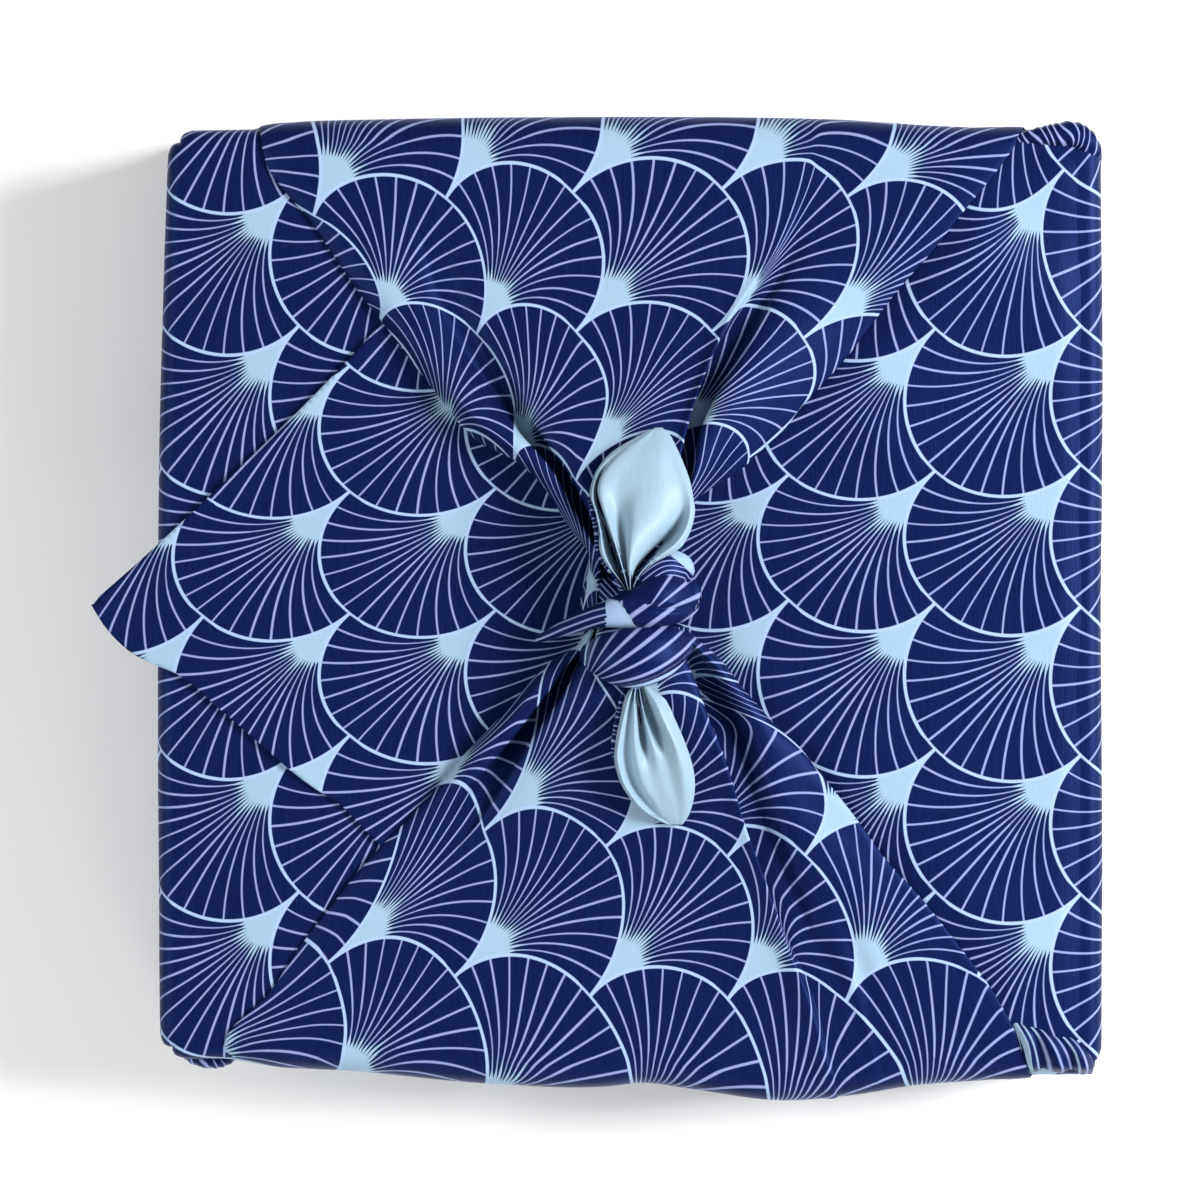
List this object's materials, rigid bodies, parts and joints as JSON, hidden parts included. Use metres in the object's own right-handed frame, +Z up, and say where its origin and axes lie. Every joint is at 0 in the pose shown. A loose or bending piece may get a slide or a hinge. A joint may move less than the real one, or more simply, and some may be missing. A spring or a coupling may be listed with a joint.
{
  "type": "furoshiki wrap",
  "caption": "Square cloth folded round a flat square parcel, its corners drawn up in gathers and tied on top in a square knot with short ears.",
  "frame": {"origin": "centre of the flat base, on the surface the wrap rests on", "axes": "+Z up through the knot, +Y along the two tied gathers, +X away from the flap tip that hangs past the left edge"},
  "size_m": [0.2995, 0.29, 0.0837],
  "materials": {
    "printed_satin": "smooth woven polyester satin, navy with a pale blue fan-scallop print, pale blue-green reverse"
  },
  "bodies": {
    "root": {"furoshiki_wrap": "printed_satin"}
  },
  "joints": []
}
